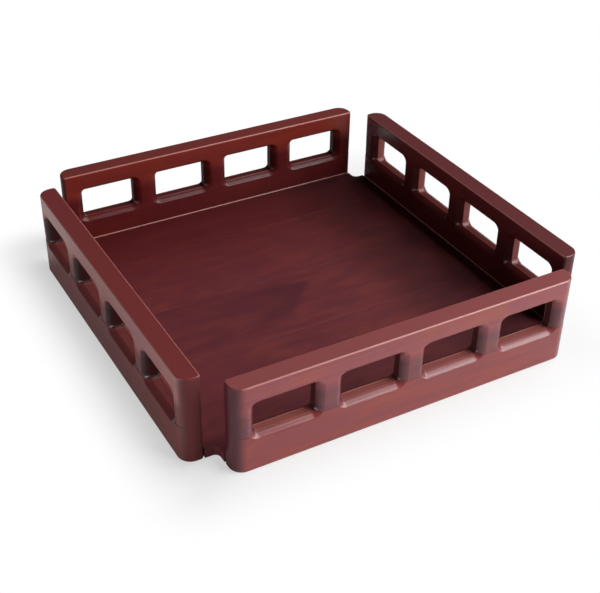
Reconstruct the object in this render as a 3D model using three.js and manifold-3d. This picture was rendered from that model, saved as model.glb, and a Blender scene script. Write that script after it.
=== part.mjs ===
// Square wooden serving tray with finger windows for handles, in millimetres, +Z up.
// The origin is at the centre of the underside, on the surface that the tray stands on.
// Four walls stand round a flat floor and leave a gap at each corner, so a wall is held by the floor alone:
// a tongue on the floor's edge sits in a stopped groove in the wall's bottom rail.
// Each wall is glued up from a bottom rail, a row of posts and a top rail, and is then routed,
// so that its windows are rounded over on both faces and their corners run across the glue lines.
import * as THREE from "three";
import { mergeVertices } from "three/addons/utils/BufferGeometryUtils.js";
import Module from "manifold-3d";

const wasm = await Module();
wasm.setup();

// Tray as a whole.
const traySide = 330;
const wallHeight = 71;
const wallThickness = 15.5;

// Clear gap between the end of a wall and the inner face of the next wall.
const cornerGap = 10;

// Rounding of a wall's upright edges, seen from above, and of its rims.
const outerEndRadius = 10;
const innerEndRadius = 2.5;
const rimRound = 1.2;

// Windows, measured where their outline meets a wall's face.
const windowCount = 4;
const endPostWidth = 10.3;
const postWidth = 8.8;
const windowSill = 25.5;
const windowHead = 13;
const windowCornerRadius = 8;

// Inside a window: the flat land in the middle, and how far the rounding-over spreads out to each face.
const landWidth = 5.5;
const flareSpread = 3;

// How far a window cuts into the bottom rail and into the top rail.
const lowerNotch = 4;
const upperNotch = 6;

// Floor: boards glued edge to edge, front to back, with a tongue along each of the four sides.
const floorThickness = 8;
const floorCornerRadius = 4;
const boardShares = [0.33, 0.24, 0.26, 0.17];
const tongueThickness = 4;
const tongueLength = 6;
const tongueStop = 14;

// Clearances, and the overrun of every cut.
const seatClearance = 0.3;
const grooveClearance = 0.3;
const cutOverrun = 2;

// Facets in the round stretches.
const endArcSteps = 3;
const rimSteps = 2;
const cornerSteps = 4;
const flareSteps = 3;

// Worked out from the sizes above.
const quarterTurn = Math.PI / 2;
const halfSide = traySide / 2;
const halfLength = halfSide - wallThickness - cornerGap;
const outerFace = -halfSide;
const innerFace = outerFace + wallThickness;
const endRadius = Math.min(outerEndRadius, wallThickness - innerEndRadius);
const flareDepth = (wallThickness - landWidth) / 2;
const windowWidth =
  (2 * halfLength - 2 * endPostWidth - (windowCount - 1) * postWidth) / windowCount;
const windowHeight = wallHeight - windowSill - windowHead;
const windowMiddle = windowSill + windowHeight / 2;
const windowCentres = Array.from(
  { length: windowCount },
  (_, index) => (index - (windowCount - 1) / 2) * (windowWidth + postWidth),
);
const lowerGlueLine = windowSill + lowerNotch;
const upperGlueLine = wallHeight - windowHead - upperNotch;
const floorHalf = -innerFace - seatClearance;
const tongueHalf = halfLength - tongueStop;
const tongueTip = -innerFace + tongueLength;
const tongueBottom = (floorThickness - tongueThickness) / 2;
const tongueTop = tongueBottom + tongueThickness;

// Satin-lacquered hardwood: the rails redder, the posts greyer, the floor darker.
const finishes = {
  topRail: { color: 0x8c4644, roughness: 0.42, metalness: 0 },
  post: { color: 0x6f4648, roughness: 0.46, metalness: 0 },
  bottomRail: { color: 0x874544, roughness: 0.42, metalness: 0 },
  floorBoard: { color: 0x5e2a2d, roughness: 0.5, metalness: 0 },
};

// Turns a closed geometry into a solid that can be joined and cut.
function solidOf(geometry) {
  const bare = geometry.clone();
  bare.deleteAttribute("normal");
  bare.deleteAttribute("uv");
  const merged = mergeVertices(bare);
  return new wasm.Manifold(
    new wasm.Mesh({
      numProp: 3,
      vertProperties: new Float32Array(merged.attributes.position.array),
      triVerts: new Uint32Array(merged.index.array),
    }),
  );
}

// Turns a solid back into a geometry.
function geometryOf(solid) {
  const mesh = solid.getMesh();
  const geometry = new THREE.BufferGeometry();
  geometry.setAttribute("position", new THREE.BufferAttribute(mesh.vertProperties, 3));
  geometry.setIndex(new THREE.BufferAttribute(mesh.triVerts, 1));
  geometry.computeVertexNormals();
  return geometry;
}

// A block between two corners. Its vertices take the corners' own values, so blocks that share a plane meet in it.
function block(low, high) {
  const geometry = new THREE.BoxGeometry(1, 1, 1);
  const points = geometry.attributes.position;
  for (let index = 0; index < points.count; index += 1) {
    points.setXYZ(
      index,
      points.getX(index) < 0 ? low.x : high.x,
      points.getY(index) < 0 ? low.y : high.y,
      points.getZ(index) < 0 ? low.z : high.z,
    );
  }
  return solidOf(geometry);
}

// A closed skin over rings with the same number of points, with a flat cap on the first and the last.
function loft(rings) {
  const count = rings[0].length;
  const last = (rings.length - 1) * count;
  const faces = [];
  for (let start = 0; start < last; start += count) {
    for (let point = 0; point < count; point += 1) {
      const next = (point + 1) % count;
      faces.push(start + point, start + count + point, start + next);
      faces.push(start + next, start + count + point, start + count + next);
    }
  }
  for (let point = 1; point + 1 < count; point += 1) {
    faces.push(0, point, point + 1);
    faces.push(last, last + point + 1, last + point);
  }
  const geometry = new THREE.BufferGeometry();
  geometry.setFromPoints(rings.flat());
  geometry.setIndex(faces);
  return geometry;
}

// The front wall before it is routed: one long blank with softened rims, seen from above as a rectangle
// whose two outer corners are well rounded and whose two inner corners are only eased.
function wallBlank() {
  const plan = new THREE.Shape();
  const outerX = halfLength - endRadius;
  const innerX = halfLength - innerEndRadius;
  const outerY = outerFace + endRadius;
  const innerY = innerFace - innerEndRadius;
  plan.moveTo(-outerX, outerFace);
  plan.absarc(outerX, outerY, endRadius, -quarterTurn, 0);
  plan.absarc(innerX, innerY, innerEndRadius, 0, quarterTurn);
  plan.absarc(-innerX, innerY, innerEndRadius, quarterTurn, 2 * quarterTurn);
  plan.absarc(-outerX, outerY, endRadius, 2 * quarterTurn, 3 * quarterTurn);
  const geometry = new THREE.ExtrudeGeometry(plan, {
    depth: wallHeight - 2 * rimRound,
    bevelThickness: rimRound,
    bevelSize: rimRound,
    bevelOffset: -rimRound,
    bevelSegments: rimSteps,
    curveSegments: endArcSteps,
  });
  return solidOf(geometry.translate(0, 0, rimRound));
}

// The outline of a window at one depth in the wall, wider than the land's outline by the spread, all round.
function windowRing(centreX, y, spread) {
  const radius = windowCornerRadius - flareSpread + spread;
  const acrossX = windowWidth / 2 - windowCornerRadius;
  const acrossZ = windowHeight / 2 - windowCornerRadius;
  const corners = [
    [acrossX, acrossZ],
    [-acrossX, acrossZ],
    [-acrossX, -acrossZ],
    [acrossX, -acrossZ],
  ];
  return corners.flatMap(([cornerX, cornerZ], corner) =>
    Array.from({ length: cornerSteps + 1 }, (_, step) => {
      const angle = (corner + step / cornerSteps) * quarterTurn;
      const x = centreX + cornerX + radius * Math.cos(angle);
      const z = windowMiddle + cornerZ + radius * Math.sin(angle);
      return new THREE.Vector3(x, y, z);
    }),
  );
}

// What the router takes out of the wall for one window. From the land to each face the wood is rounded over
// by an arc that leaves the land smoothly and meets the face at an angle, which draws a crisp line there.
function windowCutter(centreX) {
  const arcRadius = (flareDepth ** 2 + flareSpread ** 2) / (2 * flareSpread);
  const sweep = Math.asin(flareDepth / arcRadius);
  const flare = Array.from({ length: flareSteps + 1 }, (_, step) => {
    const angle = sweep * (1 - step / flareSteps);
    const depth = flareDepth - arcRadius * Math.sin(angle);
    const spread = arcRadius * (1 - Math.cos(angle));
    return { depth, spread };
  });
  const outside = flare.map(({ depth, spread }) => windowRing(centreX, outerFace + depth, spread));
  const inside = flare.map(({ depth, spread }) => windowRing(centreX, innerFace - depth, spread));
  return solidOf(
    loft([
      windowRing(centreX, outerFace - cutOverrun, flareSpread),
      ...outside,
      ...inside.toReversed(),
      windowRing(centreX, innerFace + cutOverrun, flareSpread),
    ]),
  );
}

// The stopped groove in a bottom rail's inner face that takes the floor's tongue.
function grooveCutter() {
  const half = tongueHalf + grooveClearance;
  const bottomEnd = new THREE.Vector3(-half, -tongueTip - grooveClearance, tongueBottom - grooveClearance);
  const topEnd = new THREE.Vector3(half, innerFace + cutOverrun, tongueTop + grooveClearance);
  return block(bottomEnd, topEnd);
}

// The stretch of the front wall's space between two upright planes and two levels.
function stretch(fromX, toX, bottom, top) {
  const low = new THREE.Vector3(fromX, outerFace - cutOverrun, bottom);
  const high = new THREE.Vector3(toX, innerFace + cutOverrun, top);
  return block(low, high);
}

// The pieces of one wall, where the front wall holds them. Posts are counted from the left, seen from outside.
function wallPieces() {
  const routed = windowCentres.map(windowCutter).reduce((wall, cutter) => wall.subtract(cutter), wallBlank());
  const end = halfLength + cutOverrun;
  const bottomStrip = stretch(-end, end, -cutOverrun, lowerGlueLine);
  const topStrip = stretch(-end, end, upperGlueLine, wallHeight + cutOverrun);
  const bottomRail = routed.intersect(bottomStrip).subtract(grooveCutter());
  const topRail = routed.intersect(topStrip);
  const cuts = [-end, ...windowCentres, end];
  const posts = cuts.slice(1).map((toX, index) => ({
    name: `post_${index + 1}`,
    geometry: geometryOf(routed.intersect(stretch(cuts[index], toX, lowerGlueLine, upperGlueLine))),
    finish: finishes.post,
  }));
  return [
    { name: "bottom_rail", geometry: geometryOf(bottomRail), finish: finishes.bottomRail },
    { name: "top_rail", geometry: geometryOf(topRail), finish: finishes.topRail },
    ...posts,
  ];
}

// The floor seen from above: a square with a notch at each corner, where two walls leave their gap.
function floorPlan() {
  const shape = new THREE.Shape();
  const middle = new THREE.Vector2();
  const arcPlace = halfLength + floorCornerRadius;
  for (let side = 0; side < 4; side += 1) {
    const turn = side * quarterTurn;
    const place = (x, y) => new THREE.Vector2(x, y).rotateAround(middle, turn);
    const sideStart = place(-halfLength, -floorHalf);
    const sideEnd = place(halfLength, -floorHalf);
    const arcCentre = place(arcPlace, -arcPlace);
    if (side === 0) shape.moveTo(sideStart.x, sideStart.y);
    else shape.lineTo(sideStart.x, sideStart.y);
    shape.lineTo(sideEnd.x, sideEnd.y);
    shape.absarc(arcCentre.x, arcCentre.y, floorCornerRadius, turn + 2 * quarterTurn, turn + quarterTurn, true);
  }
  return shape;
}

// The floor panel as glued up: the board thickness with a thinner tongue along each side.
function floorPanel() {
  const plate = new THREE.ExtrudeGeometry(floorPlan(), {
    depth: floorThickness,
    bevelEnabled: false,
    curveSegments: cornerSteps / 2,
  });
  const acrossLow = new THREE.Vector3(-tongueTip, -tongueHalf, tongueBottom);
  const acrossHigh = new THREE.Vector3(tongueTip, tongueHalf, tongueTop);
  const alongLow = new THREE.Vector3(-tongueHalf, -tongueTip, tongueBottom);
  const alongHigh = new THREE.Vector3(tongueHalf, tongueTip, tongueTop);
  return solidOf(plate).add(block(acrossLow, acrossHigh)).add(block(alongLow, alongHigh));
}

// The panel's boards, whose grain runs from side to side.
function floorBoards() {
  const panel = floorPanel();
  const reach = tongueTip + cutOverrun;
  let jointY = -floorHalf;
  return boardShares.map((share, index) => {
    const isFirst = index === 0;
    const isLast = index === boardShares.length - 1;
    const fromY = isFirst ? -reach : jointY;
    jointY += share * 2 * floorHalf;
    const toY = isLast ? reach : jointY;
    const low = new THREE.Vector3(-reach, fromY, -cutOverrun);
    const high = new THREE.Vector3(reach, toY, floorThickness + cutOverrun);
    return {
      name: `floor_board_${index + 1}`,
      geometry: geometryOf(panel.intersect(block(low, high))),
      finish: finishes.floorBoard,
    };
  });
}

// One named mesh.
function meshOf({ name, geometry, finish }, prefix = "") {
  const mesh = new THREE.Mesh(geometry, new THREE.MeshStandardMaterial(finish));
  mesh.name = prefix + name;
  return mesh;
}

const tray = new THREE.Group();
tray.add(...floorBoards().map((board) => meshOf(board)));

const pieces = wallPieces();
["front", "right", "back", "left"].forEach((side, index) => {
  const wall = new THREE.Group();
  wall.rotation.z = index * quarterTurn;
  wall.add(...pieces.map((piece) => meshOf(piece, `${side}_`)));
  tray.add(wall);
});

export default tray;
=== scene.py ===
"""A square wooden serving tray with finger windows, set on a white studio ground.

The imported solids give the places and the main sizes. Each of them is made again here as a joiner would
shape it: a wall is planed to a blank, routed through with rounded windows and parted along its glue lines,
and the floor is glued up from boards. Every piece is then stained and lacquered.
"""

from __future__ import annotations

import logging
import math
import operator
from abc import ABC, abstractmethod
from collections.abc import Callable, Iterator
from contextlib import contextmanager
from dataclasses import dataclass, replace
from enum import Enum
from functools import partial, reduce

import bmesh
import bpy
from mathutils import Matrix, Vector

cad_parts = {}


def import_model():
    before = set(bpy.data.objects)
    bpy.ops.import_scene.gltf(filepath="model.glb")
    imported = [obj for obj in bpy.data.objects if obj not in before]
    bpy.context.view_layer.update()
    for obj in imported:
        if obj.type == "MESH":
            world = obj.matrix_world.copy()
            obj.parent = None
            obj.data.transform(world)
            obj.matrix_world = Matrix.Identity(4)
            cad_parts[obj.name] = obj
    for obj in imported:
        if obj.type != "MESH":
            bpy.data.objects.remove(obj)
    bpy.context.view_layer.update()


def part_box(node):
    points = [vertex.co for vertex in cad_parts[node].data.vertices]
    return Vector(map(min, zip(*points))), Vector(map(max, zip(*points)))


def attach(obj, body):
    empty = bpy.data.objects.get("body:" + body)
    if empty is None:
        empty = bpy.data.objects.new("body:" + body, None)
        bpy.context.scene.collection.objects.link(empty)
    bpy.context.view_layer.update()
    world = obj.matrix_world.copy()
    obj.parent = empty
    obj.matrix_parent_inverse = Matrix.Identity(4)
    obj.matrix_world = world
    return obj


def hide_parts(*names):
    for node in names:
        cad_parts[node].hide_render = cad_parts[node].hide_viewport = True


Object = bpy.types.Object
Tree = bpy.types.NodeTree
Colour = tuple[float, float, float, float]
Way = tuple[float, float, float]
Inputs = dict[str | int, object]
EdgeTest = Callable[[Vector, Vector], bool]
PointTest = Callable[[Vector], bool]

LOG = logging.getLogger("serving_tray")

BODY = "root"  # Nothing moves, so all pieces ride on one body.
MM = 0.001
HAIR = 0.01 * MM  # Places that are nearer to each other than this are the same.
FRONT_TURN = -90.0  # The front's turn from the X axis, in degrees.
X_WAY: Way = (1.0, 0.0, 0.0)
Y_WAY: Way = (0.0, 1.0, 0.0)
UP: Way = (0.0, 0.0, 1.0)

# The mixing node has sockets for numbers, vectors and colours. These are the places of those for colours.
MIX_UNDER = 6
MIX_OVER = 7
MIX_RESULT = 2


def linear(hex_colour: str) -> Colour:
    """Turns a colour as written for a screen into the linear colour that a shader takes.

    Args:
        hex_colour: Six hexadecimal digits, two each for red, green and blue.

    Returns:
        The linear red, green and blue, with full alpha.
    """
    shares = [int(hex_colour[place:place + 2], 16) / 255 for place in (0, 2, 4)]
    red, green, blue = (
        share / 12.92 if share <= 0.04045 else ((share + 0.055) / 1.055) ** 2.4 for share in shares
    )
    return red, green, blue, 1.0


def adjust(thing: object, **settings: object) -> None:
    """Sets some properties of a node, a modifier, a camera or a lamp."""
    for name, setting in settings.items():
        setattr(thing, name, setting)


def add_node(tree: Tree, kind: str, inputs: Inputs | None = None, **settings: object) -> bpy.types.Node:
    """Adds a node to a material or a world.

    Args:
        tree: The node tree that gets the node.
        kind: Blender's name for the kind of node.
        inputs: What each input takes, which is a pattern that is linked to it or a fixed value.
        settings: The node's own properties.

    Returns:
        The new node.
    """
    node = tree.nodes.new(kind)
    adjust(node, **settings)
    for place, source in (inputs or {}).items():
        if isinstance(source, Pattern):
            tree.links.new(source.socket, node.inputs[place])
        else:
            node.inputs[place].default_value = source
    return node


def cleared_tree(owner: bpy.types.Material | bpy.types.World) -> Tree:
    """Opens a material or a world for nodes, without those that it starts with.

    Args:
        owner: The material or the world.

    Returns:
        Its empty node tree.
    """
    owner.use_nodes = True
    owner.node_tree.nodes.clear()
    return owner.node_tree


@dataclass(frozen=True)
class Pattern:
    """What a node works out afresh for every point, such as a place, a strength, a colour or a surface.

    Attributes:
        tree: The node tree that it belongs to.
        socket: The node's output that gives it.
    """

    tree: Tree
    socket: bpy.types.NodeSocket

    @classmethod
    def of(
        cls, tree: Tree, kind: str, output: str | int, inputs: Inputs | None = None, **settings: object
    ) -> Pattern:
        """Adds a node, as add_node does, and takes the named one of its outputs."""
        return cls(tree, add_node(tree, kind, inputs, **settings).outputs[output])

    def worked(self, operation: str, *others: Pattern | float) -> Pattern:
        """Works one sum on a strength and on whatever else the sum takes."""
        return self._sum("ShaderNodeMath", "Value", operation, others)

    def carried(self, operation: str, *others: Way) -> Pattern:
        """Works one sum on a place, which gives another place."""
        return self._sum("ShaderNodeVectorMath", "Vector", operation, others)

    def measured(self, operation: str, *others: Way) -> Pattern:
        """Works one sum on a place or a direction, which gives a strength."""
        return self._sum("ShaderNodeVectorMath", "Value", operation, others)

    def _sum(self, kind: str, output: str, operation: str, others: tuple[object, ...]) -> Pattern:
        """Adds the node for one sum."""
        return Pattern.of(self.tree, kind, output, dict(enumerate((self, *others))), operation=operation)

    def __mul__(self, other: Pattern | float) -> Pattern:
        """Multiplies a strength."""
        return self.worked("MULTIPLY", other)

    def __add__(self, other: Pattern | float) -> Pattern:
        """Adds to a strength."""
        return self.worked("ADD", other)

    def __sub__(self, other: Pattern | float) -> Pattern:
        """Takes from a strength."""
        return self.worked("SUBTRACT", other)

    def __abs__(self) -> Pattern:
        """Drops a strength's sign."""
        return self.worked("ABSOLUTE")

    def along(self, way: Way) -> Pattern:
        """Measures a place from the tray's middle along a way, or how squarely a surface faces that way."""
        return self.measured("DOT_PRODUCT", way)

    def spread(self, low: float, high: float) -> Pattern:
        """Spreads a band of strengths over the full range, with soft ends.

        Args:
            low: The strength that becomes nothing.
            high: The strength that becomes full. Where it is the lower one, the pattern is turned over.

        Returns:
            The spread pattern.
        """
        inputs = {"Value": self, "From Min": low, "From Max": high}
        return Pattern.of(self.tree, "ShaderNodeMapRange", "Result", inputs, interpolation_type="SMOOTHSTEP")

    def blended(self, under: Pattern | Colour, over: str) -> Pattern:
        """Lays a colour, as written for a screen, over one below, as strongly as this pattern says."""
        inputs = {"Factor": self, MIX_UNDER: under, MIX_OVER: linear(over)}
        return Pattern.of(self.tree, "ShaderNodeMix", MIX_RESULT, inputs, data_type="RGBA")


def both_at(first: float, second: float, level: float) -> bool:
    """Says whether two measures lie at the same level."""
    return max(abs(first - level), abs(second - level)) < HAIR


def direction(turn: float, height: float) -> Vector:
    """Finds the way from the tray to something that stands round it.

    Args:
        turn: Its turn about the tray from the X axis, in degrees, seen from above.
        height: Its height over the horizon, in degrees.

    Returns:
        The way, as a vector of length one.
    """
    turn, height = math.radians(turn), math.radians(height)
    return Vector((math.cos(turn) * math.cos(height), math.sin(turn) * math.cos(height), math.sin(height)))


@dataclass(frozen=True)
class Round:
    """A rounding.

    Attributes:
        radius: Its radius.
        steps: Its facets, where one makes a plain chamfer.
        fullness: Its fullness, where a half is a true arc and less is hollow.
    """

    radius: float
    steps: int
    fullness: float = 0.5


class Side(Enum):
    """A wall of the tray, as its quarter turns from the front wall, seen from above."""

    FRONT = 0
    RIGHT = 1
    BACK = 2
    LEFT = 3

    @property
    def word(self) -> str:
        """The side's name, as the nodes spell it."""
        return self.name.lower()

    @property
    def angle(self) -> float:
        """The turn of the side's grain from the X axis, seen from above."""
        return self.value * math.pi / 2

    @property
    def turn(self) -> Matrix:
        """The turn that carries the front wall to this side."""
        return Matrix.Rotation(self.angle, 4, "Z")

    @property
    def along(self) -> Way:
        """The way that the wall and its grain run."""
        return math.cos(self.angle), math.sin(self.angle), 0.0

    @property
    def outward(self) -> Way:
        """The way from the tray's middle to the wall."""
        return math.sin(self.angle), -math.cos(self.angle), 0.0


class Strip(Enum):
    """The kind of strip that a wall's piece is, as the record's slot for its wood."""

    TOP_RAIL = "top_rail_wood"
    POST = "post_wood"
    BOTTOM_RAIL = "bottom_rail_wood"


class Bench:
    """The operators, each on one piece that is taken up alone."""

    @staticmethod
    def take(piece: Object) -> None:
        """Puts down what is selected and takes up one piece.

        Args:
            piece: The piece that the next operators act on.
        """
        bpy.ops.object.select_all(action="DESELECT")
        piece.select_set(True)
        bpy.context.view_layer.objects.active = piece

    @staticmethod
    @contextmanager
    def opened(piece: Object) -> Iterator[None]:
        """Keeps a piece open in edit mode, with all of it selected.

        Args:
            piece: The piece to open.
        """
        Bench.take(piece)
        bpy.ops.object.mode_set(mode="EDIT")
        bpy.ops.mesh.select_all(action="SELECT")
        yield
        bpy.ops.object.mode_set(mode="OBJECT")

    @staticmethod
    @contextmanager
    def picked(piece: Object, kind: str, wanted: EdgeTest | PointTest) -> Iterator[None]:
        """Keeps a piece open in edit mode, with the wanted edges or points selected.

        Args:
            piece: The piece to open.
            kind: EDGE to pick edges and VERT to pick points.
            wanted: Says of an edge's two ends, or of a point's place, whether it is wanted.
        """
        with Bench.opened(piece):
            bpy.ops.mesh.select_mode(type=kind)
            bpy.ops.mesh.select_all(action="DESELECT")
            mesh = bmesh.from_edit_mesh(piece.data)
            if kind == "EDGE":
                for edge in mesh.edges:
                    edge.select_set(wanted(edge.verts[0].co, edge.verts[1].co))
            else:
                for point in mesh.verts:
                    point.select_set(wanted(point.co))
                mesh.select_flush_mode()
            bmesh.update_edit_mesh(piece.data)
            yield

    @staticmethod
    def block(name: str, low: Vector, high: Vector) -> Object:
        """Cuts a plain block to size, as the start of a piece.

        Args:
            name: The piece's name.
            low: The block's lowest corner.
            high: The block's highest corner.

        Returns:
            The block, with its place in its mesh.
        """
        bpy.ops.mesh.primitive_cube_add(size=1, location=(low + high) / 2, scale=high - low)
        bpy.ops.object.transform_apply(location=True, rotation=True, scale=True)
        piece = bpy.context.object
        piece.name = name
        piece.data.name = name
        return piece

    @staticmethod
    def copy(piece: Object, name: str, turn: Matrix | None = None) -> Object:
        """Copies a piece with its own mesh.

        Args:
            piece: The piece to copy.
            name: The copy's name.
            turn: Where the copy's mesh is carried to, if it moves.

        Returns:
            The copy.
        """
        twin = piece.copy()
        twin.data = piece.data.copy()
        twin.name = name
        twin.data.name = name
        bpy.context.scene.collection.objects.link(twin)
        if turn is not None:
            twin.data.transform(turn)
        return twin

    @staticmethod
    def remove(*pieces: Object) -> None:
        """Clears away tools and blanks that have done their work."""
        for piece in pieces:
            bpy.data.meshes.remove(piece.data)

    @staticmethod
    def round_over(piece: Object, wanted: EdgeTest, form: Round) -> None:
        """Rounds the wanted edges of a piece, which are known by their two ends."""
        with Bench.picked(piece, "EDGE", wanted):
            bpy.ops.mesh.bevel(offset=form.radius, segments=form.steps, profile=form.fullness, affect="EDGES")

    @staticmethod
    def stretch(piece: Object, wanted: PointTest, factors: Way, centre: Vector) -> None:
        """Moves the wanted points of a piece, so that they lie that many times as far from a centre."""
        with Bench.picked(piece, "VERT", wanted):
            bpy.ops.transform.resize(value=factors, center_override=centre)

    @staticmethod
    def saw(piece: Object, way: Way, level: float, keep_behind: bool | None = None) -> None:
        """Saws a piece along a plane.

        Args:
            piece: The piece to saw.
            way: The way that the plane faces.
            level: How far along it the plane lies.
            keep_behind: Whether the part behind the plane is kept and closed, or the one before it,
                or None where the saw only scores a line round the piece.
        """
        with Bench.opened(piece):
            bpy.ops.mesh.bisect(
                plane_co=level * Vector(way),
                plane_no=way,
                use_fill=keep_behind is not None,
                clear_outer=keep_behind is True,
                clear_inner=keep_behind is False,
                threshold=HAIR,
            )

    @staticmethod
    def modify(piece: Object, kind: str, **settings: object) -> None:
        """Works a modifier into a piece.

        Args:
            piece: The piece that changes.
            kind: Blender's name for the kind of modifier.
            settings: The modifier's own properties.
        """
        Bench.take(piece)
        bpy.ops.object.modifier_add(type=kind)
        modifier = piece.modifiers[-1]
        adjust(modifier, **settings)
        bpy.ops.object.modifier_apply(modifier=modifier.name)

    @staticmethod
    def combine(piece: Object, tool: Object, operation: str) -> None:
        """Cuts a piece with a tool by DIFFERENCE, or glues it on by UNION, and clears the tool away."""
        Bench.modify(piece, "BOOLEAN", operation=operation, solver="EXACT", object=tool)
        Bench.remove(tool)

    @staticmethod
    def smooth(piece: Object, angle: float = math.radians(32), flatness: int = 100) -> None:
        """Shades a piece smooth up to an angle, with its flat faces kept flat.

        Args:
            piece: The piece to finish.
            angle: The widest angle that still reads as a round.
            flatness: How far the large faces govern the shading of the small ones, in percent.
        """
        with Bench.opened(piece):
            bpy.ops.mesh.remove_doubles(threshold=HAIR / 2)
        bpy.ops.object.shade_smooth_by_angle(angle=angle)
        Bench.modify(piece, "WEIGHTED_NORMAL", keep_sharp=True, weight=flatness)


class Patch(ABC):
    """A place on a piece that has another colour."""

    colour: str

    @abstractmethod
    def mask(self, place: Pattern) -> Pattern:
        """Draws how much of the patch's colour shows at a place on the tray."""


@dataclass(frozen=True)
class Ramp:
    """A slope of strength across the tray, with soft ends.

    Attributes:
        way: The way along which it is measured from the tray's middle.
        nothing: The distance at which the strength is nothing.
        full: The distance at which it is full, which may be the smaller one.
        both_ways: Whether it rises in both directions alike.
    """

    way: Way
    nothing: float
    full: float
    both_ways: bool = False

    def strength(self, place: Pattern) -> Pattern:
        """Finds how strong the ramp is at a place."""
        distance = place.along(self.way)
        return (abs(distance) if self.both_ways else distance).spread(self.nothing, self.full)


@dataclass(frozen=True)
class Zone(Patch):
    """A place bounded by ramps with a colour of its own; most of these paint light and shade, in the windows,
    on top faces and edges, and on the floor.

    Attributes:
        colour: Its colour there.
        ramps: The ramps that bound it.
        share: How much of the colour shows where all of them are full.
    """

    colour: str
    ramps: tuple[Ramp, ...]
    share: float = 1.0

    @classmethod
    def under(cls, colour: str, level: float, reach: float, share: float) -> Zone:
        """Bounds a zone that shows most at a level and over it, and fades out some way under it."""
        return cls(colour, (Ramp(UP, level - reach, level),), share)

    @classmethod
    def on_wall(
        cls,
        colour: str,
        side: Side,
        outward: tuple[float, float],
        half_length: float,
        heights: tuple[float, float],
        softness: float = 0.8 * MM,
        share: float = 0.9,
    ) -> Zone:
        """Bounds a zone on a wall all round.

        Args:
            colour: Its colour there.
            side: The wall.
            outward: From where to where it reaches across the wall, measured from the tray's middle.
            half_length: Half its length along the wall.
            heights: From where to where it reaches up the wall.
            softness: The width over which the colour fades in.
            share: How much of it shows.

        Returns:
            The zone.
        """
        ramps = [Ramp(side.along, half_length + softness, half_length, both_ways=True)]
        for way, (low, high) in ((side.outward, outward), (UP, heights)):
            ramps += [Ramp(way, low - softness, low), Ramp(way, high + softness, high)]
        return cls(colour, tuple(ramps), share)

    def mask(self, place: Pattern) -> Pattern:
        """Finds the place where all the ramps are strong."""
        return reduce(operator.mul, (ramp.strength(place) for ramp in self.ramps)) * self.share


@dataclass(frozen=True)
class EndGrain(Patch):
    """Wood cut across the grain, as at a strip's ends and a window's sides, where the stain soaks in darker.

    Attributes:
        colour: The stain's colour there.
        share: How much of it shows.
        grain: The way that the grain runs.
        facing: The cosines of the angles to the grain at which a surface counts for nothing and in full.
        ramps: Ramps that bound the patch, if it takes up only a part of the wall.
    """

    colour: str
    share: float
    grain: Way
    facing: tuple[float, float] = (0.3, 0.95)
    ramps: tuple[Ramp, ...] = ()

    def mask(self, place: Pattern) -> Pattern:
        """Finds the surfaces that face along the grain, and those that slant towards it."""
        ends = self.exposed(place.tree, *self.facing)
        return reduce(operator.mul, (ramp.strength(place) for ramp in self.ramps), ends) * self.share

    def exposed(self, tree: Tree, low: float, high: float) -> Pattern:
        """Finds how squarely a surface faces along the grain, between two cosines of the angle to it."""
        normal = Pattern.of(tree, "ShaderNodeNewGeometry", "Normal")
        return abs(normal.along(self.grain)).spread(low, high)


@dataclass(frozen=True)
class Heartwood(Patch):
    """A dark tongue of heartwood that runs into a board from the left and ends in a slanting tip.

    Attributes:
        colour: The heartwood's colour under the stain.
        share: How much of it shows near the tip.
        tip: The tongue's tip on the floor.
        back_slope: The slope of its back edge.
        front_slope: The slope of its front edge near the tip.
        front_knee: Where the front edge turns to run along the grain.
        knee_slope: The slope of the front edge beyond the knee.
        back_softness: The width over which its back edge fades.
        front_softness: The width over which its front edge fades.
        fade: From where to where along the X axis the tongue fades towards its root.
        root_share: How much of it is left there.
    """

    colour: str = "3c1a26"
    share: float = 0.5
    tip: tuple[float, float] = (24 * MM, 7.2 * MM)
    back_slope: float = -0.178
    front_slope: float = 0.968
    front_knee: tuple[float, float] = (-16 * MM, -36 * MM)
    knee_slope: float = 0.169
    back_softness: float = 7 * MM
    front_softness: float = 14 * MM
    fade: tuple[float, float] = (-12 * MM, -62 * MM)
    root_share: float = 0.35

    def mask(self, place: Pattern) -> Pattern:
        """Finds the places between the tongue's edges.

        Args:
            place: The place on the tray.

        Returns:
            How much of the heartwood shows.
        """
        x, y = place.along(X_WAY), place.along(Y_WAY)
        back = self._line(x, self.tip, self.back_slope)
        beyond_knee = self._line(x, self.front_knee, self.knee_slope)
        front = self._line(x, self.tip, self.front_slope).worked("MAXIMUM", beyond_knee)
        inside = (back - y).spread(0.0, self.back_softness) * (y - front).spread(0.0, self.front_softness)
        fading = {
            "Value": x,
            "From Min": self.fade[0],
            "From Max": self.fade[1],
            "To Min": self.share,
            "To Max": self.share * self.root_share,
        }
        return inside * Pattern.of(place.tree, "ShaderNodeMapRange", "Result", fading)

    @staticmethod
    def _line(x: Pattern, point: tuple[float, float], slope: float) -> Pattern:
        """Gives where a slanting line through a point runs on the Y axis, for each place on the X axis."""
        return x.worked("MULTIPLY_ADD", slope, point[1] - slope * point[0])


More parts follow.
